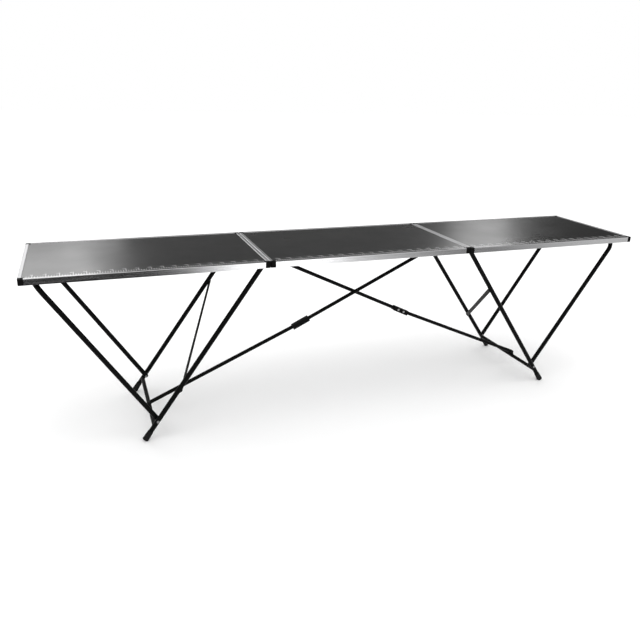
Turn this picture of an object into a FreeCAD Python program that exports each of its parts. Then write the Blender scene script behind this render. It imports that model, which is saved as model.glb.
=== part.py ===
"""Folding pasting table: three boards in aluminium frames on two splayed steel leg frames.

Lengths are millimetres.  X runs along the table, Y from front to rear, Z up; the origin is on the
floor under the middle of the table.  The right leg, brace and outer panel are the left ones turned
half round about Z, and the right stay is the left one turned half round about the line between the
two stays, so only the left side is drawn.
"""
import os
from math import atan2, cos, degrees, radians, sin, sqrt

import FreeCAD
import Part
from FreeCAD import Vector

# Table top
table_length = 3000.0
table_width = 600.0
table_height = 800.0
panel_count = 3
panel_gap = 1.5
board_thickness = 4.0

# Frame extrusion, seen in section
rail_height = 26.0
rail_wall = 1.6
rail_edge = 1.5
lip_width = 15.0
lip_thickness = 1.4
shelf_width = 15.0
shelf_thickness = 1.4
flange_width = 10.0
flange_thickness = 1.6
groove_depth = 0.6
groove_width = 1.6
groove_shares = (0.34, 0.66)

# Corner caps
cap_size = 22.0
cap_round = 6.0
cap_edge = 1.2
cap_tenon = 18.0
cap_play = 0.15

# Hinges under the joints between the panels
hinge_inset = 120.0
hinge_width = 60.0
hinge_knuckle_radius = 5.0
hinge_pin_radius = 2.5
hinge_leaf_length = 9.0
hinge_leaf_thickness = 1.8
hinge_knuckle_shares = (0.3, 0.7)
hinge_play = 0.3
hinge_head_thickness = 1.5

# Leg frames
leg_angle = 54.5
leg_radius = 11.0
leg_side_gap = 9.9
tube_wall = 1.2
leg_pivot_from_joint = 23.0
leg_pivot_drop = 21.0
foot_to_brace_pivot = 105.0
foot_to_cross_tube = 77.0
cross_radius = 9.5
foot_radius = 14.5
foot_top_radius = 12.6
foot_length = 46.0
foot_base = 7.0
foot_edge = 2.5
foot_top_edge = 0.5
foot_flat_depth = 3.5

# Flat strip that squares each leg frame
strip_width = 20.0
strip_thickness = 3.0
strip_inset = 0.4
strip_overhang = 5.0
strip_rear_share = 0.275
strip_front_share = 0.71

# Leg pivots
bracket_thickness = 2.0
bracket_length = 34.0
bracket_play = 0.6
bracket_reach = 12.0
pivot_radius = 3.5
pivot_head_radius = 6.5
pivot_head_thickness = 2.5
pivot_play = 0.25

# U-shaped braces and the clips that hold their cross part
brace_radius = 11.0
brace_bend = 60.0
brace_from_end = 46.0
brace_drop = 31.0
brace_washer = 1.6
brace_washer_radius = 6.5
rivet_radius = 3.0
rivet_head_radius = 6.0
rivet_head_thickness = 2.0
clip_inset = 120.0
clip_width = 18.0
clip_play = 0.8
clip_wall = 3.5
clip_jaw = 5.0

# Folding stays
stay_line_y = -53.0
stay_lane = 14.0
stay_radius = 9.0
stay_pin_from_joint = 38.0
stay_pin_drop = 30.0
stay_bracket_thickness = 2.0
stay_bracket_play = 0.5
stay_bracket_edge = 11.0
knee_over_centre = 2.0
knee_length = 92.0
knee_rivet_spacing = 34.0
knee_wall = 1.8
knee_play = 0.4
knee_skirt = 12.5
knee_head_thickness = 1.2
hook_play = 0.6
hook_wall = 6.0
hook_width = 14.0
hook_tail = 28.0
hook_tail_play = 0.1
hook_start_angle = 95.0
hook_end_angle = -50.0

# Cuts run this far past the faces they pass through
overrun = 5.0

# Worked out from the sizes above
panel_length = (table_length - (panel_count - 1) * panel_gap) / panel_count
joint_x = -(panel_length + panel_gap) / 2
frame_bottom = table_height - rail_height
board_top = table_height - lip_thickness
board_bottom = board_top - board_thickness
shelf_bottom = board_bottom - shelf_thickness
outer_end_x = -table_length / 2
outer_inner_x = joint_x - panel_gap / 2
hinge_z = frame_bottom - hinge_knuckle_radius
hinge_offset_y = table_width / 2 - hinge_inset
pivot_half = leg_radius + bracket_play + bracket_thickness + pivot_head_thickness
leg_offset_y = table_width / 2 - shelf_width - leg_side_gap - pivot_half
brace_offset_y = leg_offset_y - leg_radius - brace_washer - brace_radius
clip_offset_y = brace_offset_y - clip_inset

ALONG_X = Vector(1, 0, 0)
ALONG_Y = Vector(0, 1, 0)
ALONG_Z = Vector(0, 0, 1)
ORIGIN = Vector(0, 0, 0)


def box(low, high):
    """Box between two opposite corners."""
    size = high - low
    return Part.makeBox(size.x, size.y, size.z, low)


def rod(start, end, radius):
    """Solid round bar from one point to another."""
    axis = end - start
    return Part.makeCylinder(radius, axis.Length, start, axis)


def cross_pin(x, z, y_from, y_to, radius):
    """Round bar along Y."""
    return rod(Vector(x, y_from, z), Vector(x, y_to, z), radius)


def prism(points, push):
    """Solid swept from a closed polygon."""
    return Part.Face(Part.makePolygon(points + points[:1])).extrude(push)


def in_plane(angle):
    """Unit vector in the XZ plane, turned from X towards Z."""
    return Vector(cos(radians(angle)), 0, sin(radians(angle)))


def fuse(first, *others):
    """One solid out of touching solids."""
    return first.multiFuse(list(others)).removeSplitter()


def mirrored_y(shape):
    """The shape with its mirror image across the middle plane of the table."""
    return Part.makeCompound([shape, shape.mirror(ORIGIN, ALONG_Y)])


def turned(shape, centre):
    """The shape turned half round about an upright line: the right side made from the left."""
    copy = shape.copy()
    copy.rotate(centre, ALONG_Z, 180)
    return copy


def save(name, shape):
    """Write one piece."""
    shape.exportStep("parts/" + name + ".step")


def save_both(name, shape, centre=ORIGIN):
    """Write a left piece and its right twin, whose front is the left one's rear."""
    swap = {"front": "rear", "rear": "front"}
    words = [swap.get(word, word) for word in name.split("_")]
    save("left_" + name, shape)
    save("right_" + "_".join(words), turned(shape, centre))


def rail_section():
    """Outline of the frame extrusion: pairs of inward distance and height above its bottom."""
    slot_top = rail_height - lip_thickness
    slot_bottom = slot_top - board_thickness
    points = [(0, 0)]
    for share in groove_shares:
        middle = share * rail_height
        low = middle - groove_width / 2
        high = middle + groove_width / 2
        points += [(0, low), (groove_depth, low), (groove_depth, high), (0, high)]
    points += [(0, rail_height - rail_edge), (rail_edge, rail_height), (lip_width - lip_thickness, rail_height)]
    points += [(lip_width, slot_top), (rail_wall, slot_top), (rail_wall, slot_bottom), (shelf_width, slot_bottom)]
    points += [(shelf_width, slot_bottom - shelf_thickness), (rail_wall, slot_bottom - shelf_thickness)]
    points += [(rail_wall, flange_thickness), (flange_width, flange_thickness), (flange_width, 0)]
    return points


def rail(corner, inward, along, length):
    """One length of the frame extrusion, from its outer bottom corner."""
    points = [corner + inward * u + ALONG_Z * w for u, w in rail_section()]
    return prism(points, along * length)


def corner_cap():
    """Cap for the corner at the origin of a panel, with a tenon into each rail."""
    body = Part.makeBox(cap_size, cap_size, rail_height)
    outer = [e for e in body.Edges if e.BoundBox.XMax < cap_edge and e.BoundBox.YMax < cap_edge]
    body = body.makeFillet(cap_round, outer)
    top = [e for e in body.Edges if e.BoundBox.ZMin > rail_height - cap_edge]
    body = body.makeFillet(cap_edge, top)
    near = rail_wall + cap_play
    far = flange_width - cap_play
    low = flange_thickness + cap_play
    high = shelf_bottom - frame_bottom - cap_play
    tenon_x = box(Vector(cap_size - cap_edge, near, low), Vector(cap_size + cap_tenon, far, high))
    tenon_y = box(Vector(near, cap_size - cap_edge, low), Vector(far, cap_size + cap_tenon, high))
    return fuse(body, tenon_x, tenon_y)


def panel_pieces(start_x):
    """Board, rails and caps of one panel that begins at start_x and runs towards +X."""
    half_width = table_width / 2
    end_x = start_x + panel_length
    rail_length = panel_length - 2 * cap_size
    end_length = table_width - 2 * cap_size
    front_corner = Vector(start_x + cap_size, -half_width, frame_bottom)
    rear_corner = Vector(start_x + cap_size, half_width, frame_bottom)
    left_corner = Vector(start_x, -half_width + cap_size, frame_bottom)
    right_corner = Vector(end_x, -half_width + cap_size, frame_bottom)
    low = Vector(start_x + rail_wall, -half_width + rail_wall, board_bottom)
    high = Vector(end_x - rail_wall, half_width - rail_wall, board_top)
    board = box(low, high)
    caps = []
    cap = corner_cap()
    for x, y, turn in ((start_x, -half_width, 0), (end_x, -half_width, 90), (end_x, half_width, 180),
                       (start_x, half_width, 270)):
        placed = cap.copy()
        placed.rotate(ORIGIN, ALONG_Z, turn)
        placed.translate(Vector(x, y, frame_bottom))
        caps.append(placed)
        reach_x = cap_size if x == start_x else -cap_size
        reach_y = cap_size if y < 0 else -cap_size
        corner = Vector(min(x, x + reach_x), min(y, y + reach_y), frame_bottom)
        board = board.cut(Part.makeBox(cap_size, cap_size, rail_height, corner))
    return {
        "board": board,
        "front_rail": rail(front_corner, ALONG_Y, ALONG_X, rail_length),
        "rear_rail": rail(rear_corner, -ALONG_Y, ALONG_X, rail_length),
        "left_end_rail": rail(left_corner, ALONG_X, ALONG_Y, end_length),
        "right_end_rail": rail(right_corner, -ALONG_X, ALONG_Y, end_length),
        "corner_caps": Part.makeCompound(caps),
    }


def hinge_pieces():
    """Two leaf hinges under the left joint: outer leaves, middle leaves and pins."""
    outer_leaves, middle_leaves, pins = [], [], []
    shares = (0,) + hinge_knuckle_shares + (1,)
    for middle_y in (-hinge_offset_y, hinge_offset_y):
        first_y = middle_y - hinge_width / 2
        cuts = [first_y + share * hinge_width for share in shares]
        for side, group in ((-1, outer_leaves), (1, middle_leaves)):
            inner_x = joint_x + side * panel_gap / 2
            leaf_end_x = inner_x + side * hinge_leaf_length
            low = Vector(min(joint_x, leaf_end_x), first_y, frame_bottom - hinge_leaf_thickness)
            high = Vector(max(joint_x, leaf_end_x), first_y + hinge_width, frame_bottom)
            leaf = box(low, high)
            clear = cross_pin(joint_x, hinge_z, first_y - overrun, first_y + hinge_width + overrun,
                              hinge_knuckle_radius + hinge_play)
            knuckles = []
            for index in range(len(cuts) - 1):
                own = (index % 2 == 0) == (side < 0)
                if not own:
                    continue
                start = cuts[index] + (hinge_play if index else 0)
                end = cuts[index + 1] - (hinge_play if index + 2 < len(cuts) else 0)
                knuckles.append(cross_pin(joint_x, hinge_z, start, end, hinge_knuckle_radius))
                strip_low = Vector(min(joint_x, leaf_end_x), start, frame_bottom - hinge_leaf_thickness)
                strip_high = Vector(max(joint_x, leaf_end_x), end, frame_bottom)
                knuckles.append(box(strip_low, strip_high))
            leaf = fuse(leaf.cut(clear), *knuckles)
            bore = hinge_pin_radius + (hinge_play if side > 0 else 0)
            group.append(leaf.cut(cross_pin(joint_x, hinge_z, first_y - overrun, first_y + hinge_width + overrun, bore)))
        pin = cross_pin(joint_x, hinge_z, first_y, first_y + hinge_width, hinge_pin_radius)
        heads = [cross_pin(joint_x, hinge_z, y, y + side * hinge_head_thickness, hinge_knuckle_radius)
                 for y, side in ((first_y, -1), (first_y + hinge_width, 1))]
        pins.append(fuse(pin, *heads))
    return Part.makeCompound(outer_leaves), Part.makeCompound(middle_leaves), Part.makeCompound(pins)


# Points of the left leg frame in the XZ plane
leg_down = in_plane(180 + leg_angle)
leg_side = in_plane(leg_angle - 90)
pivot = Vector(joint_x - leg_pivot_from_joint, 0, table_height - leg_pivot_drop)
foot_end = (pivot.z - foot_radius * cos(radians(leg_angle)) + foot_flat_depth) / sin(radians(leg_angle))
leg_tube_end = foot_end - foot_base
brace_pivot = pivot + leg_down * (foot_end - foot_to_brace_pivot)
cross_centre = pivot + leg_down * (foot_end - foot_to_cross_tube)
brace_top = Vector(outer_end_x + brace_from_end, 0, table_height - brace_drop)


def at_y(point, y):
    """The point of the XZ plane moved to a place across the table."""
    return Vector(point.x, y, point.z)


def hollow_tube(start, end, radius):
    """Round tube, open at both ends."""
    along = end - start
    along.normalize()
    bore = rod(start - along * overrun, end + along * overrun, radius - tube_wall)
    return rod(start, end, radius).cut(bore)


def dome(centre, along, radius):
    """Half ball that closes a bar which runs along from the centre."""
    return Part.makeSphere(radius, centre, along, -90, 0, 360)


def domed_tube(start, end, radius):
    """Round tube with a closed dome about its start point."""
    along = end - start
    along.normalize()
    outside = fuse(rod(start, end, radius), dome(start, along, radius))
    inside = fuse(rod(start, end + along * overrun, radius - tube_wall), dome(start, along, radius - tube_wall))
    return outside.cut(inside)


def leg_tube(y):
    """One leg, drilled for its pivot and its brace rivet."""
    tube = domed_tube(at_y(pivot, y), at_y(pivot + leg_down * leg_tube_end, y), leg_radius)
    reach = leg_radius + overrun
    tube = tube.cut(cross_pin(pivot.x, pivot.z, y - reach, y + reach, pivot_radius + pivot_play))
    return tube.cut(cross_pin(brace_pivot.x, brace_pivot.z, y - reach, y + reach, rivet_radius))


def cross_tube():
    """Lower cross tube, its ends shaped to the legs."""
    tube = hollow_tube(at_y(cross_centre, -leg_offset_y), at_y(cross_centre, leg_offset_y), cross_radius)
    for y in (-leg_offset_y, leg_offset_y):
        tube = tube.cut(rod(at_y(pivot, y), at_y(pivot + leg_down * leg_tube_end, y), leg_radius))
    return tube


def leg_strip():
    """Flat strip across the inner side of the leg frame, from high on the rear leg to low on the front."""
    rear = at_y(pivot + leg_down * (strip_rear_share * foot_end), leg_offset_y)
    front = at_y(pivot + leg_down * (strip_front_share * foot_end), -leg_offset_y)
    along = front - rear
    along.normalize()
    edge = leg_side.cross(along) * (strip_width / 2)
    rear_end = rear - along * strip_overhang
    front_end = front + along * strip_overhang
    lift = leg_side * (leg_radius - strip_inset)
    points = [rear_end + edge + lift, front_end + edge + lift, front_end - edge + lift, rear_end - edge + lift]
    strip = prism(points, leg_side * strip_thickness)
    for y in (-leg_offset_y, leg_offset_y):
        strip = strip.cut(rod(at_y(pivot, y), at_y(pivot + leg_down * leg_tube_end, y), leg_radius))
    return strip


def foot(y):
    """Plastic foot over a leg's end, with a flat that stands on the floor."""
    end = at_y(pivot + leg_down * foot_end, y)
    top = end - leg_down * foot_length
    cup = Part.makeCone(foot_top_radius, foot_radius, foot_length, top, leg_down)
    rims = sorted((e for e in cup.Edges if e.Closed), key=lambda e: e.Length)
    cup = cup.makeFillet(foot_top_edge, rims[:1])
    rims = sorted((e for e in cup.Edges if e.Closed), key=lambda e: e.Length)
    cup = cup.makeFillet(foot_edge, rims[-1:])
    cup = cup.cut(rod(top - leg_down * overrun, end - leg_down * foot_base, leg_radius))
    reach = 2 * foot_radius
    floor_low = Vector(end.x - reach, y - reach, -reach)
    floor_high = Vector(end.x + reach, y + reach, 0)
    return cup.cut(box(floor_low, floor_high))


def leg_bracket(side):
    """Channel bracket that holds one leg pivot, with a tab under the shelf of the long rail."""
    cheek = leg_radius + bracket_play
    inner = side * (leg_offset_y - cheek - bracket_thickness)
    outer = side * (leg_offset_y + cheek + bracket_thickness)
    tab_end = side * (table_width / 2 - flange_width - bracket_play)
    base_bottom = shelf_bottom - bracket_thickness
    tab_high_x = outer_inner_x - cap_size - bracket_play
    tab_low_x = tab_high_x - bracket_length
    base = box(Vector(tab_low_x, min(inner, outer), base_bottom),
               Vector(pivot.x + bracket_reach, max(inner, outer), shelf_bottom))
    tab = box(Vector(tab_low_x, min(inner, tab_end), base_bottom),
              Vector(tab_high_x, max(inner, tab_end), shelf_bottom))
    cheeks = []
    for start in (inner, outer):
        toward = side * bracket_thickness * (1 if start == inner else -1)
        plate = cross_pin(pivot.x, pivot.z, start, start + toward, bracket_reach)
        low = Vector(pivot.x - bracket_reach, min(start, start + toward), pivot.z)
        high = Vector(pivot.x + bracket_reach, max(start, start + toward), base_bottom)
        cheeks += [plate, box(low, high)]
    return fuse(base, tab, *cheeks).cut(leg_pivot_pin(side))


def leg_pivot_pin(side):
    """Headed pin through a leg bracket."""
    cheek = leg_radius + bracket_play + bracket_thickness
    low = side * leg_offset_y - cheek
    high = side * leg_offset_y + cheek
    pin = cross_pin(pivot.x, pivot.z, low, high, pivot_radius)
    heads = [cross_pin(pivot.x, pivot.z, low - pivot_head_thickness, low, pivot_head_radius),
             cross_pin(pivot.x, pivot.z, high, high + pivot_head_thickness, pivot_head_radius)]
    return fuse(pin, *heads)


def brace():
    """U-bent tube whose ends turn on the legs and whose cross part lies in the clips."""
    up = brace_top - brace_pivot
    length = up.Length
    up.normalize()

    def u_path(radius):
        front = at_y(brace_pivot, -brace_offset_y)
        front_top = front + up * (length - brace_bend)
        front_cross = at_y(brace_top, -brace_offset_y + brace_bend)
        turn = brace_bend * (1 - cos(radians(45)))
        front_middle = at_y(brace_top - up * turn, -brace_offset_y + turn)
        rear = at_y(front, brace_offset_y)
        rear_top = at_y(front_top, brace_offset_y)
        rear_cross = at_y(front_cross, brace_offset_y - brace_bend)
        rear_middle = at_y(front_middle, brace_offset_y - turn)
        edges = [Part.LineSegment(front, front_top).toShape(),
                 Part.Arc(front_top, front_middle, front_cross).toShape(),
                 Part.LineSegment(front_cross, rear_cross).toShape(),
                 Part.Arc(rear_cross, rear_middle, rear_top).toShape(),
                 Part.LineSegment(rear_top, rear).toShape()]
        ring = Part.Wire([Part.makeCircle(radius, front, up)])
        bar = Part.Wire(edges).makePipeShell([ring], True, False)
        return fuse(bar, dome(front, up, radius), dome(rear, up, radius))

    tube = u_path(brace_radius).cut(u_path(brace_radius - tube_wall))
    for y in (-brace_offset_y, brace_offset_y):
        reach = brace_radius + overrun
        tube = tube.cut(cross_pin(brace_pivot.x, brace_pivot.z, y - reach, y + reach, rivet_radius + pivot_play))
    return tube


def brace_rivet(side):
    """Rivet with a washer that joins a brace end to a leg."""
    leg_outside = side * (leg_offset_y + leg_radius)
    leg_inside = side * (leg_offset_y - leg_radius)
    brace_inside = side * (brace_offset_y - brace_radius - pivot_play)
    outer_head = leg_outside + side * rivet_head_thickness
    inner_head = brace_inside - side * rivet_head_thickness
    washer_end = leg_inside - side * (brace_washer - pivot_play)
    shank = cross_pin(brace_pivot.x, brace_pivot.z, leg_outside, brace_inside, rivet_radius)
    parts = [cross_pin(brace_pivot.x, brace_pivot.z, leg_outside, outer_head, rivet_head_radius),
             cross_pin(brace_pivot.x, brace_pivot.z, brace_inside, inner_head, rivet_head_radius),
             cross_pin(brace_pivot.x, brace_pivot.z, leg_inside, washer_end, brace_washer_radius)]
    return fuse(shank, *parts)


def brace_clip(middle_y):
    """Plastic clip under the board that the brace's cross part slides into from the middle."""
    seat = brace_radius + clip_play
    outside = seat + clip_wall
    low_y = middle_y - clip_width / 2
    high_y = middle_y + clip_width / 2
    block = cross_pin(brace_top.x, brace_top.z, low_y, high_y, outside)
    foot_low = Vector(brace_top.x - outside, low_y, brace_top.z)
    foot_high = Vector(brace_top.x + clip_jaw, high_y, board_bottom)
    jaw_low = Vector(brace_top.x, low_y, brace_top.z - outside)
    jaw_high = Vector(brace_top.x + clip_jaw, high_y, brace_top.z)
    trim_low = Vector(brace_top.x + clip_jaw, low_y - overrun, brace_top.z - outside - overrun)
    trim_high = Vector(brace_top.x + outside + overrun, high_y + overrun, board_bottom)
    mouth_low = Vector(brace_top.x, low_y - overrun, brace_top.z - seat)
    mouth_high = Vector(brace_top.x + outside + overrun, high_y + overrun, brace_top.z + seat)
    clip = fuse(block, box(foot_low, foot_high), box(jaw_low, jaw_high)).cut(box(trim_low, trim_high))
    clip = clip.cut(cross_pin(brace_top.x, brace_top.z, low_y - overrun, high_y + overrun, seat))
    return clip.cut(box(mouth_low, mouth_high))


# Lines of the left stay: down from its pin to the knee, then a little flatter to the leg's cross tube.
# Both halves are equally long, and the lower one passes over the cross tube by hook_rise.
stay_pin = Vector(-joint_x - stay_pin_from_joint, 0, table_height - stay_pin_drop)
hook_rise = cross_radius + hook_play + stay_radius
pin_to_cross = cross_centre - stay_pin
over_cos = cos(radians(knee_over_centre))
over_sin = sin(radians(knee_over_centre))
square_term = 2 * (1 + over_cos)
line_term = 2 * ((1 + over_cos) * knee_rivet_spacing + hook_rise * over_sin)
free_term = (knee_rivet_spacing + hook_rise * over_sin) ** 2 + (hook_rise * over_cos) ** 2 - pin_to_cross.Length ** 2
stay_half = (-line_term + sqrt(line_term ** 2 - 4 * square_term * free_term)) / (2 * square_term)
reach_along = stay_half * (1 + over_cos) + knee_rivet_spacing + hook_rise * over_sin
reach_up = hook_rise * over_cos - stay_half * over_sin
stay_tilt = degrees(atan2(pin_to_cross.z, pin_to_cross.x)) - degrees(atan2(reach_up, reach_along))
lower_tilt = stay_tilt - knee_over_centre
stay_along = in_plane(stay_tilt)
stay_up = in_plane(stay_tilt - 90)
lower_along = in_plane(lower_tilt)
lower_up = in_plane(lower_tilt - 90)
hook_point = cross_centre + lower_up * hook_rise
upper_rivet = stay_pin + stay_along * stay_half
lower_rivet = upper_rivet + stay_along * knee_rivet_spacing
knee_centre = upper_rivet + stay_along * (knee_rivet_spacing / 2)
knee_side = stay_radius + knee_play
knee_top = knee_side + over_sin * (knee_length - knee_rivet_spacing) / 2
tube_stop = hook_point - lower_along * (cross_radius + hook_play + hook_wall)
lane_y = stay_line_y - stay_lane
stay_turn_centre = Vector(0, stay_line_y, 0)


def stay_cross_pin(point, radius, half_width):
    """Round bar through the stay, along Y."""
    return cross_pin(point.x, point.z, lane_y - half_width, lane_y + half_width, radius)


def stay_upper():
    """Upper half of the stay, domed at the pin and at the knee."""
    start = at_y(stay_pin, lane_y)
    end = at_y(upper_rivet, lane_y)
    tube = fuse(rod(start, end, stay_radius), dome(start, stay_along, stay_radius),
                dome(end, -stay_along, stay_radius))
    tube = tube.cut(rod(start, end, stay_radius - tube_wall))
    reach = stay_radius + overrun
    tube = tube.cut(stay_cross_pin(stay_pin, rivet_radius + pivot_play, reach))
    return tube.cut(stay_cross_pin(upper_rivet, rivet_radius, reach))


def stay_lower():
    """Lower half of the stay, domed at the knee and open for the hook's tail."""
    tube = domed_tube(at_y(lower_rivet, lane_y), at_y(tube_stop, lane_y), stay_radius)
    return tube.cut(stay_cross_pin(lower_rivet, rivet_radius + pivot_play, stay_radius + overrun))


def stay_frame(along, up):
    """A point of the stay's plane, from distances along and above the hook's seat."""
    return at_y(cross_centre + lower_along * along + lower_up * up, 0)


def stay_hook():
    """Hook at the stay's lower end, over the outer side of the cross tube."""
    inner = cross_radius + hook_play
    outer = inner + hook_wall
    half = hook_width / 2
    push = ALONG_Y * hook_width
    arcs = []
    for radius in (inner, outer):
        places = []
        for angle in (hook_start_angle, (hook_start_angle + hook_end_angle) / 2, hook_end_angle):
            places.append(stay_frame(radius * cos(radians(angle)), radius * sin(radians(angle))))
        arcs.append(places)
    inside, outside = arcs
    edges = [Part.Arc(*inside).toShape(), Part.LineSegment(inside[2], outside[2]).toShape(),
             Part.Arc(outside[2], outside[1], outside[0]).toShape(),
             Part.LineSegment(outside[0], inside[0]).toShape()]
    ring = Part.Face(Part.Wire(edges)).extrude(push)
    neck_low = hook_rise - stay_radius + tube_wall
    neck_high = hook_rise + stay_radius - tube_wall
    neck = [stay_frame(-outer, neck_low), stay_frame(0, neck_low), stay_frame(outer / 2, hook_rise - tube_wall),
            stay_frame(0, neck_high), stay_frame(-outer, neck_high)]
    body = fuse(ring, prism(neck, push))
    body.translate(ALONG_Y * (lane_y - half))
    hollow = rod(at_y(cross_centre, lane_y - half - overrun), at_y(cross_centre, lane_y + half + overrun), inner)
    tail = rod(at_y(tube_stop - lower_along * hook_tail, lane_y), at_y(tube_stop + lower_along * hook_wall, lane_y),
               stay_radius - tube_wall - hook_tail_play)
    return fuse(body.cut(hollow), tail)


def knee_rivet(point):
    """Rivet let into the far cheek of the knee channel, with its head on the near one."""
    start = lane_y - knee_side - knee_wall / 2
    end = lane_y + knee_side + knee_wall
    shank = cross_pin(point.x, point.z, start, end, rivet_radius)
    return fuse(shank, cross_pin(point.x, point.z, end, end + knee_head_thickness, rivet_head_radius))


def knee_channel():
    """Channel riveted to the stay's upper half: its web stops the knee just past straight and lets it fold."""
    start = knee_centre - stay_along * (knee_length / 2)

    def section(width, low, high, lead):
        corner = start - stay_along * lead
        return [at_y(corner + stay_up * low, lane_y - width), at_y(corner + stay_up * high, lane_y - width),
                at_y(corner + stay_up * high, lane_y + width), at_y(corner + stay_up * low, lane_y + width)]

    channel = prism(section(knee_side + knee_wall, -knee_skirt, knee_top + knee_wall, 0), stay_along * knee_length)
    hollow = prism(section(knee_side, -knee_skirt - overrun, knee_top, overrun),
                   stay_along * (knee_length + 2 * overrun))
    return channel.cut(hollow).cut(knee_rivet(upper_rivet)).cut(knee_rivet(lower_rivet))


def headed_pin(point, half_width, head_thickness):
    """Pin along Y with a head at each end."""
    shank = stay_cross_pin(point, rivet_radius, half_width)
    heads = []
    for side in (-1, 1):
        start = lane_y + side * half_width
        heads.append(cross_pin(point.x, point.z, start, start + side * head_thickness, rivet_head_radius))
    return fuse(shank, *heads)


def stay_bracket():
    """Channel bracket under the middle board that holds the stay's pin."""
    inside = stay_radius + stay_bracket_play
    outside = inside + stay_bracket_thickness
    base_bottom = board_bottom - stay_bracket_thickness
    low = Vector(stay_pin.x - stay_bracket_edge, lane_y - outside, base_bottom)
    high = Vector(stay_pin.x + stay_bracket_edge, lane_y + outside, board_bottom)
    cheeks = []
    for start, end in ((-outside, -inside), (inside, outside)):
        cheeks.append(cross_pin(stay_pin.x, stay_pin.z, lane_y + start, lane_y + end, stay_bracket_edge))
        cheek_low = Vector(stay_pin.x - stay_bracket_edge, lane_y + start, stay_pin.z)
        cheek_high = Vector(stay_pin.x + stay_bracket_edge, lane_y + end, base_bottom)
        cheeks.append(box(cheek_low, cheek_high))
    bracket = fuse(box(low, high), *cheeks)
    return bracket.cut(stay_cross_pin(stay_pin, rivet_radius, outside + overrun))


def main():
    """Write every piece of the table."""
    os.makedirs("parts", exist_ok=True)
    middle = panel_pieces(joint_x + panel_gap / 2)
    for name, shape in middle.items():
        save("middle_" + name, shape)
    outer = panel_pieces(outer_end_x)
    outer_names = {"left_end_rail": "outer_end_rail", "right_end_rail": "inner_end_rail"}
    for name, shape in outer.items():
        save_both("panel_" + outer_names.get(name, name), shape)
    outer_leaves, middle_leaves, pins = hinge_pieces()
    save_both("hinge_outer_leaves", outer_leaves)
    save_both("hinge_middle_leaves", middle_leaves)
    save_both("hinge_pins", pins)
    save_both("leg_front", leg_tube(-leg_offset_y))
    save_both("leg_rear", leg_tube(leg_offset_y))
    save_both("leg_cross_tube", cross_tube())
    save_both("leg_strip", leg_strip())
    save_both("leg_feet", mirrored_y(foot(leg_offset_y)))
    save_both("leg_brackets", mirrored_y(leg_bracket(1)))
    save_both("leg_pivot_pins", mirrored_y(leg_pivot_pin(1)))
    save_both("brace", brace())
    save_both("brace_rivets", mirrored_y(brace_rivet(1)))
    save_both("brace_clips", mirrored_y(brace_clip(clip_offset_y)))
    pin_half = stay_radius + stay_bracket_play + stay_bracket_thickness
    stay = {
        "stay_upper": stay_upper(),
        "stay_lower": stay_lower(),
        "stay_hook": stay_hook(),
        "stay_knee": knee_channel(),
        "stay_knee_rivets": Part.makeCompound([knee_rivet(upper_rivet), knee_rivet(lower_rivet)]),
        "stay_bracket": stay_bracket(),
        "stay_pin": headed_pin(stay_pin, pin_half, rivet_head_thickness),
    }
    for name, shape in stay.items():
        save_both(name, shape, stay_turn_centre)


main()
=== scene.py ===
"""Finishes, printed rule, fasteners, welds and stage for a three-board folding pasting table."""
import math

import bmesh
import bpy
from bpy.props import FloatProperty, FloatVectorProperty, PointerProperty
from mathutils import Matrix, Vector


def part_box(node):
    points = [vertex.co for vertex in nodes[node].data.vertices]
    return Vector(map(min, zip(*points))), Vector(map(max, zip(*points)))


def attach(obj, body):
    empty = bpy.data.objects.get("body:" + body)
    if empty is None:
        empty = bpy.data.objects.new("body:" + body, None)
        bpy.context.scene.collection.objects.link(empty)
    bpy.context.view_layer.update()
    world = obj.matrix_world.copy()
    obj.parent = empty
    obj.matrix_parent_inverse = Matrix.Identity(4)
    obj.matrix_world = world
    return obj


bl_info = {
    "name": "Pasting Table Finish",
    "version": (1, 0, 0),
    "blender": (4, 5, 0),
    "location": "3D View > Sidebar > Pasting Table",
    "description": "Dresses a three-board folding pasting table and sets its studio",
    "category": "Object",
}

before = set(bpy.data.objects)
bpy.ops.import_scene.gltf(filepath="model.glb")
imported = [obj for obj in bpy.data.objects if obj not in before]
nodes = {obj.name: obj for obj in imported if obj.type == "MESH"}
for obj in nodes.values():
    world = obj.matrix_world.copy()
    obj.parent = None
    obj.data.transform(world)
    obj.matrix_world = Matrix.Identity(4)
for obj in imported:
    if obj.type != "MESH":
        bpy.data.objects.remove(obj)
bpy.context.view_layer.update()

# Places read from the solids
BOARD_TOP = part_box("middle_board")[1].z
RAIL_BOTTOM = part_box("middle_front_rail")[0].z
LIP_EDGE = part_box("middle_front_rail")[1].y

# The two ends of the table, each with the way along X to the middle
ENDS = (("left", 1), ("right", -1))

# Panels by the start of their pieces' names, each with its body
PANELS = (("left_panel", "left_panel"), ("middle", "middle_panel"), ("right_panel", "right_panel"))

# Sizes shared with the solids
LEG_LEAN = math.radians(54.5)
LEG_REACH = 0.9508
STRIP_SHARES = (0.275, 0.71)
STRIP_RISE = 0.0026
HINGE_WIDTH = 0.06
HINGE_RIVET_X = 0.0075
LEAF_THICKNESS = 0.0018
PLATE_THICKNESS = 0.002
TAB_LENGTH = 0.034
TAB_SHARES = (0.25, 0.75)
TAB_INSET = 0.0085
STAY_RIVET_STEP = 0.006

# Layout of the printed rule
NUMBERED_STEP = 5
END_MARGIN = 0.0225
LIP_GAP = 0.001
NUMBER_GAP = 0.003
NUMERAL_SHARE = 0.69
NUMERAL_CURVE_STEPS = 3

# Rivet heads, with a profile of rises and radii as shares of the dome and of the head
HEAD_SIDES = 18
HEAD_PROFILE = ((0.3, 0.98), (0.32, 0.84), (0.24, 0.6), (0.14, 0.28))
HEAD_CREASE = math.radians(40)

# Weld beads
BEAD_STEPS = 32
BEAD_SIDES = 8
BEAD_CREASE = math.radians(60)
BEAD_DIGITS = 5

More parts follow.
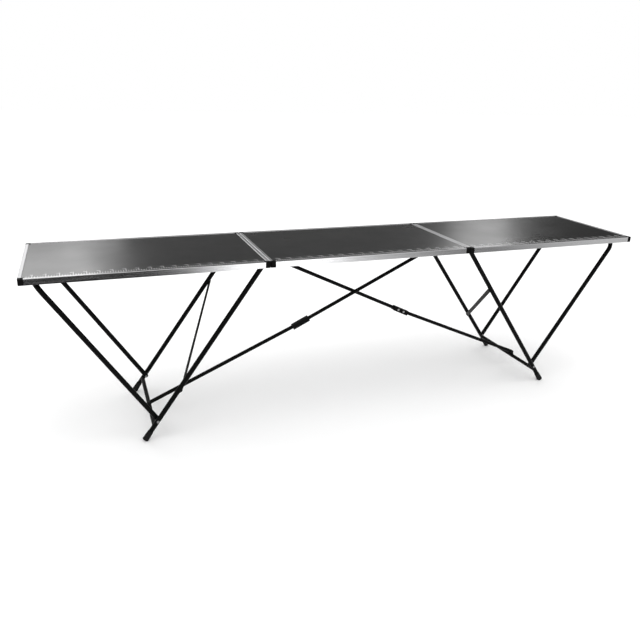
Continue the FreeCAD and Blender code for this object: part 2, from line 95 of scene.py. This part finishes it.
# Shading: the span that noise mostly fills, its roughness, and the least lift of a tint
NOISE_SPAN = (0.3, 0.7)
NOISE_ROUGHNESS = 0.55
TINT_LIFT = 0.002

# Sockets of a colour mix
MIX_FACTOR = 0
MIX_FIRST = 6
MIX_SECOND = 7
MIX_RESULT = 2

# Drawn aluminium: noise across and along the lines, and roughness by direction
LINES_ACROSS = 900.0
LINES_ALONG = 6.0
RAIL_ROUGHNESS = {"x": (0.12, 0.26), "y": (0.4, 0.52)}
# Painted sheen: the end rails are the same aluminium as the other rails, painted this many times
# lighter to stand in for the brighter reflection they show
END_RAIL_PAINTED_SHEEN = 1.45

# Camera and floor
SENSOR_WIDTH = 36
VIEW_LIMIT = 200
FLOOR_SIZE = 60

# Lamps: name, place, target, width, height, setting of the power, roll in degrees
LAMPS = (
    ("overhead_lamp", (0.3, -1.2, 4.2), (0, 0, 0.5), 4.0, 2.5, "lamp", 0),
    ("left_back_lamp", (-1.95, 3.2, 2.2), (-1.4, 0, 0.8), 1.6, 0.8, "left_sheen", 0),
    ("right_back_lamp", (3.15, 3.2, 2.5), (0.9, 0, 0.8), 0.8, 1.0, "right_sheen", 22),
    ("front_lamp", (0.42, -3.1, 0.02), (0.3, -0.3, 0.79), 1.05, 0.7, "kicker", 0),
)

# Cards that paint reflections and are seen only in them: name, place, tilt in degrees, width, depth,
# grey at the low and at the high end of X
CARDS = (
    ("front_left_card", (-2.35, -3.6, 0.012), 0, 3.9, 4.4, 0.02, 0.02),
    ("front_middle_card", (1.85, -3.6, 0.012), 0, 1.2, 4.4, 0.95, 0.12),
    ("front_right_card", (2.925, -3.6, 0.012), 0, 0.95, 4.4, 0.12, 0.9),
    ("back_middle_card", (0.99, 3.6, 2.6), 90, 3.78, 5.0, 0.15, 0.15),
    ("back_right_card", (5.87, 3.6, 2.6), 90, 4.5, 5.0, 0.06, 0.0),
    ("back_left_card", (-3.275, 3.6, 0.925), 90, 3.65, 1.75, 0.05, 0.05),
)


class RuleSettings(bpy.types.PropertyGroup):
    """Sizes of the rule printed along the front edge."""

    step: FloatProperty(
        name="Step", description="Distance between marks",
        default=0.01, unit="LENGTH", precision=4)
    short: FloatProperty(
        name="Short mark", description="Length of a one-step mark",
        default=0.018, unit="LENGTH", precision=4)
    long: FloatProperty(
        name="Long mark", description="Length of a five-step mark",
        default=0.043, unit="LENGTH", precision=4)
    line: FloatProperty(
        name="Line", description="Width of a mark",
        default=0.0018, unit="LENGTH", precision=4)
    film: FloatProperty(
        name="Film", description="Thickness of the print",
        default=0.00012, unit="LENGTH", precision=5)
    numeral: FloatProperty(
        name="Numeral", description="Height of the numbers",
        default=0.007, unit="LENGTH", precision=4)
    ink: FloatVectorProperty(
        name="Ink", description="Colour of the print",
        subtype="COLOR", size=3, min=0, max=1, default=(0.75, 0.75, 0.75))


class FastenerSettings(bpy.types.PropertyGroup):
    """Sizes of the rivets and weld beads."""

    head: FloatProperty(
        name="Head", description="Radius of a rivet head",
        default=0.0042, unit="LENGTH", precision=4)
    small_head: FloatProperty(
        name="Small head", description="Radius of a hinge rivet's head",
        default=0.0018, unit="LENGTH", precision=4)
    dome: FloatProperty(
        name="Dome", description="Height of a head as a share of its radius",
        default=0.42)
    bead: FloatProperty(
        name="Bead", description="Thickness of a weld bead",
        default=0.0018, unit="LENGTH", precision=4)


class FinishSettings(bpy.types.PropertyGroup):
    """Colours of the table's surfaces."""

    laminate: FloatVectorProperty(
        name="Laminate", description="Colour of the boards",
        subtype="COLOR", size=3, min=0, max=1, default=(0.012, 0.012, 0.012))
    aluminium: FloatVectorProperty(
        name="Aluminium", description="Colour of the frame rails",
        subtype="COLOR", size=3, min=0, max=1, default=(0.42, 0.42, 0.425))
    plastic: FloatVectorProperty(
        name="Plastic", description="Colour of caps, feet, clips and hooks",
        subtype="COLOR", size=3, min=0, max=1, default=(0.004, 0.004, 0.004))
    coat: FloatVectorProperty(
        name="Powder coat", description="Colour of the tubes",
        subtype="COLOR", size=3, min=0, max=1, default=(0.0015, 0.0015, 0.0015))
    strip: FloatVectorProperty(
        name="Strip", description="Colour of the flat strips",
        subtype="COLOR", size=3, min=0, max=1, default=(0.008, 0.008, 0.008))
    zinc: FloatVectorProperty(
        name="Zinc", description="Colour of rivets, pins and hinges",
        subtype="COLOR", size=3, min=0, max=1, default=(0.26, 0.26, 0.26))


class StageSettings(bpy.types.PropertyGroup):
    """Camera, floor and lamps."""

    camera_place: FloatVectorProperty(
        name="Camera", description="Where the camera stands",
        subtype="TRANSLATION", size=3, default=(-1.2437, -2.8679, 1.5289))
    camera_turn: FloatVectorProperty(
        name="Turn", description="How the camera is turned",
        subtype="EULER", size=3,
        default=(math.radians(69.6353), math.radians(-1.5202), math.radians(-20.2514)))
    lens: FloatProperty(
        name="Lens", description="Focal length in millimetres on a 36 mm frame",
        default=35.96)
    floor: FloatVectorProperty(
        name="Floor", description="Colour of the floor",
        subtype="COLOR", size=3, min=0, max=1, default=(0.97, 0.97, 0.97))
    room: FloatProperty(
        name="Room light", description="Strength of the light from all round",
        default=1.18)
    lamp: FloatProperty(
        name="Overhead lamp", description="Power of the soft lamp above",
        default=20.0, unit="POWER")
    left_sheen: FloatProperty(
        name="Left back lamp", description="Power of the lamp behind the left board",
        default=17.5, unit="POWER")
    right_sheen: FloatProperty(
        name="Right back lamp", description="Power of the lamp behind the right board",
        default=7.5, unit="POWER")
    kicker: FloatProperty(
        name="Front lamp", description="Power of the low lamp in front",
        default=10.0, unit="POWER")


def clear_selection():
    """Leave edit mode and select nothing."""
    if bpy.context.object and bpy.context.object.mode != "OBJECT":
        bpy.ops.object.mode_set(mode="OBJECT")
    bpy.ops.object.select_all(action="DESELECT")


def pick(piece):
    """Select one piece alone and make it active."""
    clear_selection()
    piece.select_set(True)
    bpy.context.view_layer.objects.active = piece


def new_piece(name, material):
    """The object just added gets its name and finish."""
    piece = bpy.context.object
    piece.name = name
    piece.data.name = name
    piece.data.materials.clear()
    piece.data.materials.append(material)
    return piece


def edit(piece):
    """Open a piece in edit mode with nothing selected."""
    pick(piece)
    bpy.ops.object.mode_set(mode="EDIT")
    bpy.ops.mesh.select_mode(type="FACE")
    bpy.ops.mesh.select_all(action="DESELECT")
    return bmesh.from_edit_mesh(piece.data)


def face_outward():
    """Turn the faces of the piece being edited outwards, and leave edit mode."""
    bpy.ops.mesh.select_all(action="SELECT")
    bpy.ops.mesh.normals_make_consistent(inside=False)
    clear_selection()


def settle(piece):
    """Put a piece's place, turn and size into its mesh."""
    pick(piece)
    bpy.ops.object.transform_apply(location=True, rotation=True, scale=True)


def joined(pieces, name):
    """One object out of several."""
    clear_selection()
    for piece in pieces:
        piece.select_set(True)
    bpy.context.view_layer.objects.active = pieces[0]
    if len(pieces) > 1:
        bpy.ops.object.join()
    whole = bpy.context.object
    whole.name = name
    whole.data.name = name
    settle(whole)
    return whole


def repeated(piece, count, step):
    """A row of copies, made by an array that is applied."""
    pick(piece)
    row = piece.modifiers.new("row", "ARRAY")
    row.count = count
    row.use_relative_offset = False
    row.use_constant_offset = True
    row.constant_offset_displace = step
    bpy.ops.object.modifier_apply(modifier=row.name)


def copy_to(pattern, place, turn):
    """A copy of a pattern piece with its own mesh, turned and moved."""
    copy = pattern.copy()
    copy.data = pattern.data.copy()
    bpy.context.scene.collection.objects.link(copy)
    copy.matrix_world = Matrix.Translation(place) @ turn.to_4x4()
    settle(copy)
    return copy


def facing(normal):
    """Turn that takes +Z to a direction."""
    return Vector(normal).to_track_quat("Z", "Y").to_matrix()


def leg_line(side):
    """How far the legs of one end stand from the middle along Y, and the radius of their tubes."""
    low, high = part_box(side + "_leg_rear")
    return abs(low.y + high.y) / 2, (high.y - low.y) / 2


def link(tree, start, end):
    """Join two sockets."""
    tree.links.new(start, end)


def add_node(tree, kind, **values):
    """A shader node with its options and its inputs set."""
    node = tree.nodes.new(kind)
    for name, value in values.items():
        if name in node.inputs:
            node.inputs[name].default_value = value
        else:
            setattr(node, name, value)
    return node


def spread_out(tree, value, span, low, high):
    """A value moved from one span to another."""
    spread = add_node(tree, "ShaderNodeMapRange")
    spread.inputs["From Min"].default_value = span[0]
    spread.inputs["From Max"].default_value = span[1]
    spread.inputs["To Min"].default_value = low
    spread.inputs["To Max"].default_value = high
    link(tree, value, spread.inputs["Value"])
    return spread.outputs["Result"]


def plain_shader(name, colour, metallic, roughness, specular):
    """A material with one main shader, and Object coordinates ready."""
    material = bpy.data.materials.new(name)
    material.use_nodes = True
    material.diffuse_color = (*colour, 1)
    tree = material.node_tree
    shader = tree.nodes["Principled BSDF"]
    shader.inputs["Base Color"].default_value = (*colour, 1)
    shader.inputs["Metallic"].default_value = metallic
    shader.inputs["Roughness"].default_value = roughness
    shader.inputs["Specular IOR Level"].default_value = specular
    place = add_node(tree, "ShaderNodeTexCoord")
    return material, tree, shader, place.outputs["Object"]


def shaded(tree, place, scale, low=0.0, high=1.0, detail=3.0):
    """A number between low and high that wanders over the surface."""
    mapping = add_node(tree, "ShaderNodeMapping", Scale=scale)
    noise = add_node(tree, "ShaderNodeTexNoise", Scale=1.0, Detail=detail, Roughness=NOISE_ROUGHNESS)
    link(tree, place, mapping.inputs["Vector"])
    link(tree, mapping.outputs["Vector"], noise.inputs["Vector"])
    return spread_out(tree, noise.outputs["Fac"], NOISE_SPAN, low, high)


def roughened(tree, shader, amount):
    """Roughness that varies."""
    link(tree, amount, shader.inputs["Roughness"])


def tinted(tree, shader, amount, colour, share):
    """The base colour varied towards a lighter one."""
    mix = add_node(tree, "ShaderNodeMix", data_type="RGBA")
    lighter = [min(1.0, c * (1 + share) + TINT_LIFT * share) for c in colour]
    mix.inputs[MIX_FIRST].default_value = (*colour, 1)
    mix.inputs[MIX_SECOND].default_value = (*lighter, 1)
    link(tree, amount, mix.inputs[MIX_FACTOR])
    link(tree, mix.outputs[MIX_RESULT], shader.inputs["Base Color"])


def bumped(tree, shader, height, distance, strength):
    """Fine relief."""
    bump = add_node(tree, "ShaderNodeBump", Distance=distance, Strength=strength)
    link(tree, height, bump.inputs["Height"])
    link(tree, bump.outputs["Normal"], shader.inputs["Normal"])


def darker(colour, share):
    """A colour brought down to a share of itself."""
    return [share * c for c in colour]


def laminate(colour):
    """Dark grey satin laminate with a faint hammered grain."""
    material, tree, shader, place = plain_shader(
        "laminate", colour, metallic=0.0, roughness=0.3, specular=0.35)
    roughened(tree, shader, shaded(tree, place, (3, 3, 3), low=0.26, high=0.34))
    tinted(tree, shader, shaded(tree, place, (260, 260, 260)), colour, share=0.16)
    grain = shaded(tree, place, (900, 900, 900), detail=1.0)
    bumped(tree, shader, grain, distance=0.00008, strength=0.12)
    return material


def drawn_aluminium(colour, along):
    """Satin anodised aluminium with fine drawing lines along a length."""
    stretch = [LINES_ACROSS, LINES_ACROSS, LINES_ACROSS]
    stretch["xyz".index(along)] = LINES_ALONG
    smooth, rough = RAIL_ROUGHNESS[along]
    material, tree, shader, place = plain_shader(
        "aluminium_along_" + along, colour, metallic=1.0, roughness=0.3, specular=0.5)
    shader.inputs["Specular Tint"].default_value = (0.55, 0.55, 0.55, 1)
    roughened(tree, shader, shaded(tree, place, stretch, low=smooth, high=rough))
    tinted(tree, shader, shaded(tree, place, stretch), darker(colour, 0.9), share=0.12)
    bumped(tree, shader, shaded(tree, place, stretch), distance=0.0001, strength=0.08)
    return material


def moulded_plastic(name, colour, roughness, specular):
    """Black moulded plastic with a spark-eroded texture."""
    material, tree, shader, place = plain_shader(
        name, colour, metallic=0.0, roughness=roughness, specular=specular)
    spread = 0.06
    wander = shaded(tree, place, (60, 60, 60), low=roughness - spread, high=roughness + spread)
    roughened(tree, shader, wander)
    tinted(tree, shader, shaded(tree, place, (150, 150, 150)), colour, share=0.5)
    grain = shaded(tree, place, (1600, 1600, 1600), detail=1.0)
    bumped(tree, shader, grain, distance=0.0001, strength=0.3)
    return material


def powder_coat(name, colour, specular):
    """Powder coat with a slight orange peel."""
    material, tree, shader, place = plain_shader(
        name, colour, metallic=0.0, roughness=0.36, specular=specular)
    roughened(tree, shader, shaded(tree, place, (30, 30, 30), low=0.3, high=0.42))
    tinted(tree, shader, shaded(tree, place, (80, 80, 80)), colour, share=0.4)
    peel = shaded(tree, place, (420, 420, 420), detail=1.0)
    bumped(tree, shader, peel, distance=0.0002, strength=0.2)
    return material


def bright_zinc(colour):
    """Zinc-plated steel, lightly spangled."""
    material, tree, shader, place = plain_shader(
        "bright_zinc", colour, metallic=1.0, roughness=0.32, specular=0.5)
    roughened(tree, shader, shaded(tree, place, (300, 300, 300), low=0.24, high=0.42))
    tinted(tree, shader, shaded(tree, place, (500, 500, 500)), darker(colour, 0.88), share=0.14)
    return material


def printed_ink(colour):
    """Pale screen-printed ink, a little uneven."""
    material, tree, shader, place = plain_shader(
        "printed_ink", colour, metallic=0.0, roughness=0.55, specular=0.1)
    tinted(tree, shader, shaded(tree, place, (700, 700, 700)), darker(colour, 0.9), share=0.14)
    return material


def wear(node_name, material):
    """Give a solid its finish."""
    mesh = nodes[node_name].data
    mesh.materials.clear()
    mesh.materials.append(material)


class PASTINGTABLE_OT_finishes(bpy.types.Operator):
    """Give every solid its finish"""

    bl_idname = "pasting_table.finishes"
    bl_label = "Finish the Solids"

    def execute(self, context):
        """Choose a finish by the end of the piece's name; the empty one takes the rest."""
        colours = context.scene.pasting_table_finish
        rail = tuple(colours.aluminium)
        # Painted sheen: a lighter copy of the rail aluminium stands in for the end rails' brighter
        # reflection
        end_rail = tuple(END_RAIL_PAINTED_SHEEN * part for part in rail)
        black = tuple(colours.plastic)
        finishes = (
            (("board",), laminate(tuple(colours.laminate))),
            (("end_rail",), drawn_aluminium(end_rail, "y")),
            (("rail",), drawn_aluminium(rail, "x")),
            (("corner_caps",), moulded_plastic("cap_plastic", black, roughness=0.4, specular=0.006)),
            (("feet", "clips", "hook"),
             moulded_plastic("moulded_plastic", black, roughness=0.5, specular=0.1)),
            (("rivets", "pin", "pins", "leaves"), bright_zinc(tuple(colours.zinc))),
            (("strip",), powder_coat("strip_coat", tuple(colours.strip), specular=0.02)),
            (("",), powder_coat("tube_coat", tuple(colours.coat), specular=0.05)),
        )
        for name in nodes:
            wear(name, next(material for endings, material in finishes if name.endswith(endings)))
        return {"FINISHED"}


class PASTINGTABLE_OT_rule(bpy.types.Operator):
    """Print the rule along the front edge of each board"""

    bl_idname = "pasting_table.rule"
    bl_label = "Print the Rule"

    def mark(self, x, y, length, rule, ink):
        """One printed mark: a thin plate on the board."""
        bpy.ops.mesh.primitive_plane_add(size=1, location=(x, y + length / 2, BOARD_TOP))
        plate = new_piece("mark", ink)
        plate.scale = (rule.line, length, 1)
        settle(plate)
        edit(plate)
        bpy.ops.mesh.select_all(action="SELECT")
        bpy.ops.mesh.extrude_region_move(TRANSFORM_OT_translate={"value": (0, 0, rule.film)})
        face_outward()
        return plate

    def number(self, words, x, y, rule, ink):
        """A number lying on the board, which ends at x."""
        bpy.ops.object.text_add(location=(x, y, BOARD_TOP + rule.film / 2))
        text = bpy.context.object
        text.data.body = words
        text.data.align_x = "RIGHT"
        text.data.size = rule.numeral / NUMERAL_SHARE
        text.data.extrude = rule.film / 2
        text.data.resolution_u = NUMERAL_CURVE_STEPS
        bpy.ops.object.convert(target="MESH")
        number = new_piece("number", ink)
        settle(number)
        return number

    def print_board(self, low, high, start_x, rule, ink):
        """The marks and numbers of one board, counted in steps from the table's left end."""
        front = LIP_EDGE + LIP_GAP
        number_y = front + rule.long - rule.numeral
        first = math.ceil((low.x + END_MARGIN - start_x) / rule.step)
        last = math.floor((high.x - END_MARGIN - start_x) / rule.step)
        fives = [count for count in range(first, last + 1) if count % NUMBERED_STEP == 0]
        stride = (NUMBERED_STEP * rule.step, 0, 0)

        def place(count):
            """Where a mark stands along X."""
            return start_x + count * rule.step

        pieces = []
        for five in fives:
            if five:
                pieces.append(self.number(str(five), place(five) - NUMBER_GAP, number_y, rule, ink))
        clear_selection()
        longs = self.mark(place(fives[0]), front, rule.long, rule, ink)
        repeated(longs, len(fives), stride)
        shorts = self.mark(place(fives[0] + 1), front, rule.short, rule, ink)
        repeated(shorts, NUMBERED_STEP - 1, (rule.step, 0, 0))
        repeated(shorts, len(fives) - 1, stride)
        pieces += [longs, shorts]
        for count in (*range(first, fives[0]), *range(fives[-1] + 1, last + 1)):
            pieces.append(self.mark(place(count), front, rule.short, rule, ink))
        return pieces

    def execute(self, context):
        """Marks at every step, longer ones and numbers at every fifth."""
        rule = context.scene.pasting_table_rule
        ink = printed_ink(tuple(rule.ink))
        start_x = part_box("left_panel_board")[0].x
        for panel, body in PANELS:
            low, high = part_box(panel + "_board")
            whole = joined(self.print_board(low, high, start_x, rule, ink), panel + "_rule")
            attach(whole, body)
        return {"FINISHED"}


class PASTINGTABLE_OT_rivets(bpy.types.Operator):
    """Rivet the hinges, brackets and strips to what carries them"""

    bl_idname = "pasting_table.rivets"
    bl_label = "Set the Rivets"

    def head(self, radius, dome, material):
        """A domed rivet head that rises from the origin along Z."""
        clear_selection()
        bpy.ops.mesh.primitive_circle_add(
            vertices=HEAD_SIDES, radius=radius, fill_type="NGON", location=(0, 0, 0))
        head = new_piece("head", material)
        edit(head)
        bpy.ops.mesh.select_all(action="SELECT")
        before = 1.0
        for rise, share in HEAD_PROFILE:
            size = share / before
            bpy.ops.mesh.extrude_region_move(
                TRANSFORM_OT_translate={"value": (0, 0, rise * dome * radius)})
            bpy.ops.transform.resize(value=(size, size, 1), center_override=(0, 0, 0))
            before = share
        face_outward()
        pick(head)
        bpy.ops.object.shade_smooth_by_angle(angle=HEAD_CREASE)
        return head

    def row(self, pattern, places, turn, name, body, slot):
        """Heads at several places, joined into one piece that rides on a body."""
        heads = [copy_to(pattern, place, turn) for place in places]
        whole = joined(heads, name)
        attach(whole, body)

    def hinge_places(self, side, leaves, away):
        """Three rivets under each leaf."""
        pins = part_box(side + "_hinge_pins")
        x = (pins[0].x + pins[1].x) / 2 + away * HINGE_RIVET_X
        low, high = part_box(side + leaves)
        places = []
        for middle in (low.y + HINGE_WIDTH / 2, high.y - HINGE_WIDTH / 2):
            for step in (-1, 0, 1):
                places.append((x, middle + step * HINGE_WIDTH / 3, RAIL_BOTTOM - LEAF_THICKNESS))
        return places

    def bracket_places(self, side, sign):
        """Two rivets under the tab of each leg bracket."""
        low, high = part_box(side + "_leg_brackets")
        outer_x = low.x if sign > 0 else high.x
        places = []
        for edge in (low.y, high.y):
            y = edge - math.copysign(TAB_INSET, edge)
            for share in TAB_SHARES:
                places.append((outer_x + sign * share * TAB_LENGTH, y, high.z - PLATE_THICKNESS))
        return places

    def stay_places(self, side):
        """Two rivets under a stay bracket."""
        low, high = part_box(side + "_stay_bracket")
        middle = (low + high) / 2
        z = high.z - PLATE_THICKNESS
        return [(middle.x + step * STAY_RIVET_STEP, middle.y, z) for step in (-1, 1)]

    def strip_places(self, side, sign, inward):
        """A rivet at each end of a strip, which runs from one leg to the other."""
        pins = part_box(side + "_leg_pivot_pins")
        pivot = (pins[0] + pins[1]) / 2
        leg_y, leg_radius = leg_line(side)
        along = Vector((-sign * math.cos(LEG_LEAN), 0, -math.sin(LEG_LEAN)))
        places = []
        for share, y in zip(STRIP_SHARES, (sign * leg_y, -sign * leg_y)):
            spot = pivot + along * (share * LEG_REACH) + inward * (leg_radius + STRIP_RISE)
            places.append((spot.x, y, spot.z))
        return places

    def execute(self, context):
        """Rivets under the hinge leaves, the leg and stay brackets, and on the strips."""
        sizes = context.scene.pasting_table_fasteners
        colours = context.scene.pasting_table_finish
        zinc = bpy.data.materials.get("bright_zinc") or bright_zinc(tuple(colours.zinc))
        dark = powder_coat("rivet_coat", tuple(colours.strip), specular=0.02)
        small = self.head(sizes.small_head, sizes.dome, zinc)
        large = self.head(sizes.head, sizes.dome, zinc)
        coated = self.head(sizes.head, sizes.dome, dark)
        down = facing((0, 0, -1))
        for side, sign in ENDS:
            panel = side + "_panel"
            for leaves, away, body in (("_hinge_outer_leaves", -sign, panel),
                                       ("_hinge_middle_leaves", sign, "middle_panel")):
                places = self.hinge_places(side, leaves, away)
                self.row(small, places, down, side + leaves + "_rivets", body, "bright")
            places = self.bracket_places(side, sign)
            self.row(large, places, down, side + "_bracket_rivets", panel, "bright")
            places = self.stay_places(side)
            self.row(large, places, down, side + "_stay_bracket_rivets", "middle_panel", "bright")
            inward = Vector((sign * math.sin(LEG_LEAN), 0, -math.cos(LEG_LEAN)))
            places = self.strip_places(side, sign, inward)
            self.row(coated, places, facing(inward), side + "_strip_rivets", side + "_leg", "strip")
        for pattern in (small, large, coated):
            bpy.data.objects.remove(pattern)
        return {"FINISHED"}


class PASTINGTABLE_OT_welds(bpy.types.Operator):
    """Weld the cross tubes to the legs"""

    bl_idname = "pasting_table.welds"
    bl_label = "Lay the Weld Beads"

    def bead(self, tube_radius, leg_radius, thickness, material):
        """A bead about Y that follows the saddle where a tube meets a leg along Z."""
        clear_selection()
        bpy.ops.mesh.primitive_torus_add(
            major_segments=BEAD_STEPS, minor_segments=BEAD_SIDES, major_radius=tube_radius,
            minor_radius=thickness, rotation=(math.radians(90), 0, 0))
        bead = new_piece("bead", material)
        settle(bead)
        mesh = edit(bead)
        bpy.ops.mesh.select_mode(type="VERT")
        # Points that lie equally far across the leg drop together
        rings = {}
        for vertex in mesh.verts:
            turn = math.atan2(vertex.co.z, vertex.co.x)
            across = round(tube_radius * math.cos(turn), BEAD_DIGITS)
            rings.setdefault(across, []).append(vertex.index)
        for across, indices in rings.items():
            bpy.ops.mesh.select_all(action="DESELECT")
            mesh = bmesh.from_edit_mesh(bead.data)
            mesh.verts.ensure_lookup_table()
            for index in indices:
                mesh.verts[index].select = True
            mesh.select_flush_mode()
            bmesh.update_edit_mesh(bead.data)
            drop = math.sqrt(leg_radius ** 2 - across ** 2)
            bpy.ops.transform.translate(value=(0, -drop, 0))
        face_outward()
        pick(bead)
        bpy.ops.object.shade_smooth_by_angle(angle=BEAD_CREASE)
        return bead

    def execute(self, context):
        """A bead at each end of both cross tubes."""
        sizes = context.scene.pasting_table_fasteners
        colours = context.scene.pasting_table_finish
        coat = powder_coat("weld_coat", tuple(colours.coat), specular=0.05)
        half_turn = Matrix.Rotation(math.pi, 3, "Z")
        for side, sign in ENDS:
            low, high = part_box(side + "_leg_cross_tube")
            middle = (low + high) / 2
            leg_y, leg_radius = leg_line(side)
            pattern = self.bead((high.z - low.z) / 2, leg_radius, sizes.bead, coat)
            lean = Matrix.Rotation(sign * (math.radians(90) - LEG_LEAN), 3, "Y")
            beads = [copy_to(pattern, (middle.x, leg_y, middle.z), lean),
                     copy_to(pattern, (middle.x, -leg_y, middle.z), lean @ half_turn)]
            whole = joined(beads, side + "_weld_beads")
            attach(whole, side + "_leg")
            bpy.data.objects.remove(pattern)
        return {"FINISHED"}


class PASTINGTABLE_OT_stage(bpy.types.Operator):
    """Set the floor, the lamps and the camera"""

    bl_idname = "pasting_table.stage"
    bl_label = "Set the Stage"

    def camera(self, stage):
        """The camera where the picture was taken from."""
        data = bpy.data.cameras.new("studio_camera")
        data.sensor_width = SENSOR_WIDTH
        data.lens = stage.lens
        data.clip_end = VIEW_LIMIT
        camera = bpy.data.objects.new("studio_camera", data)
        bpy.context.scene.collection.objects.link(camera)
        camera.location = stage.camera_place
        camera.rotation_euler = stage.camera_turn
        bpy.context.scene.camera = camera

    def floor(self, colour):
        """A wide pale floor."""
        clear_selection()
        bpy.ops.mesh.primitive_plane_add(size=FLOOR_SIZE, location=(0, 0, 0))
        material, tree, shader, place = plain_shader(
            "studio_floor", colour, metallic=0.0, roughness=0.9, specular=0.0)
        tinted(tree, shader, shaded(tree, place, (2, 2, 2)), darker(colour, 0.99), share=0.01)
        floor = new_piece("studio_floor", material)

    def room(self, strength):
        """Even light from all round, and a white room to the camera and in reflections."""
        world = bpy.data.worlds.new("studio_room")
        bpy.context.scene.world = world
        world.use_nodes = True
        tree = world.node_tree
        even = tree.nodes["Background"]
        even.inputs["Color"].default_value = (1, 1, 1, 1)
        even.inputs["Strength"].default_value = strength
        white = add_node(tree, "ShaderNodeBackground", Color=(1, 1, 1, 1), Strength=1.0)
        path = add_node(tree, "ShaderNodeLightPath")
        seen = add_node(tree, "ShaderNodeMath", operation="MAXIMUM")
        shown = add_node(tree, "ShaderNodeMath", operation="MAXIMUM")
        mix = add_node(tree, "ShaderNodeMixShader")
        link(tree, path.outputs["Is Camera Ray"], seen.inputs[0])
        link(tree, path.outputs["Is Glossy Ray"], seen.inputs[1])
        link(tree, seen.outputs["Value"], shown.inputs[0])
        link(tree, path.outputs["Is Transmission Ray"], shown.inputs[1])
        link(tree, shown.outputs["Value"], mix.inputs["Fac"])
        link(tree, even.outputs["Background"], mix.inputs[1])
        link(tree, white.outputs["Background"], mix.inputs[2])
        link(tree, mix.outputs["Shader"], tree.nodes["World Output"].inputs["Surface"])

    def lamp(self, name, place, target, width, height, power, roll):
        """A soft rectangular lamp that the camera doesn't see."""
        data = bpy.data.lights.new(name, "AREA")
        data.shape = "RECTANGLE"
        data.size = width
        data.size_y = height
        data.energy = power
        lamp = bpy.data.objects.new(name, data)
        bpy.context.scene.collection.objects.link(lamp)
        lamp.location = place
        aim = (Vector(target) - Vector(place)).to_track_quat("-Z", "Y").to_matrix()
        lamp.rotation_euler = (aim @ Matrix.Rotation(math.radians(roll), 3, "Z")).to_euler()
        lamp.visible_camera = False

    def card(self, name, place, tilt, width, depth, start, end):
        """A card that only reflections show, shaded from one grey to another along X: a painted
        reflection that lays dark and light bands into the sheen of the boards and rails.
        """
        clear_selection()
        bpy.ops.mesh.primitive_plane_add(
            size=1, location=place, rotation=(math.radians(tilt), 0, 0))
        material, tree, shader, where = plain_shader(
            name, (start, start, start), metallic=0.0, roughness=0.9, specular=0.0)
        parts = add_node(tree, "ShaderNodeSeparateXYZ")
        link(tree, where, parts.inputs["Vector"])
        span = (place[0] - width / 2, place[0] + width / 2)
        # Painted reflection: the grey that the boards and rails mirror, running from start to end
        # along X
        grey = spread_out(tree, parts.outputs["X"], span, start, end)
        link(tree, grey, shader.inputs["Base Color"])
        card = new_piece(name, material)
        card.scale = (width, depth, 1)
        settle(card)
        card.visible_camera = False
        card.visible_diffuse = False
        card.visible_shadow = False
        card.visible_transmission = False

    def execute(self, context):
        """Camera, floor, room, lamps and the cards that paint reflections."""
        stage = context.scene.pasting_table_stage
        self.camera(stage)
        self.floor(tuple(stage.floor))
        self.room(stage.room)
        for name, place, target, width, height, setting, roll in LAMPS:
            self.lamp(name, place, target, width, height, getattr(stage, setting), roll)
        for card in CARDS:
            self.card(*card)
        context.scene.view_settings.view_transform = "Standard"
        return {"FINISHED"}


class PASTINGTABLE_PT_sidebar(bpy.types.Panel):
    """Lists the table's operators and settings"""

    bl_idname = "PASTINGTABLE_PT_sidebar"
    bl_label = "Pasting Table"
    bl_space_type = "VIEW_3D"
    bl_region_type = "UI"
    bl_category = "Pasting Table"

    def draw(self, context):
        """Buttons, then the settings."""
        layout = self.layout
        for operator in OPERATORS:
            layout.operator(operator.bl_idname)
        for settings in SETTINGS:
            group = getattr(context.scene, settings)
            box = layout.box()
            for name in group.__annotations__:
                box.prop(group, name)


SETTINGS = {
    "pasting_table_rule": RuleSettings,
    "pasting_table_fasteners": FastenerSettings,
    "pasting_table_finish": FinishSettings,
    "pasting_table_stage": StageSettings,
}
OPERATORS = (
    PASTINGTABLE_OT_finishes,
    PASTINGTABLE_OT_rule,
    PASTINGTABLE_OT_rivets,
    PASTINGTABLE_OT_welds,
    PASTINGTABLE_OT_stage,
)


def register():
    """Make the settings, operators and panel known."""
    for name, group in SETTINGS.items():
        bpy.utils.register_class(group)
        setattr(bpy.types.Scene, name, PointerProperty(type=group))
    for operator in OPERATORS:
        bpy.utils.register_class(operator)
    bpy.utils.register_class(PASTINGTABLE_PT_sidebar)


def unregister():
    """Take them away again."""
    bpy.utils.unregister_class(PASTINGTABLE_PT_sidebar)
    for operator in reversed(OPERATORS):
        bpy.utils.unregister_class(operator)
    for name, group in reversed(SETTINGS.items()):
        delattr(bpy.types.Scene, name)
        bpy.utils.unregister_class(group)


def main():
    """Dress the table and set the stage."""
    register()
    bpy.ops.pasting_table.finishes()
    bpy.ops.pasting_table.rule()
    bpy.ops.pasting_table.rivets()
    bpy.ops.pasting_table.welds()
    bpy.ops.pasting_table.stage()


if __name__ == "__main__":
    main()
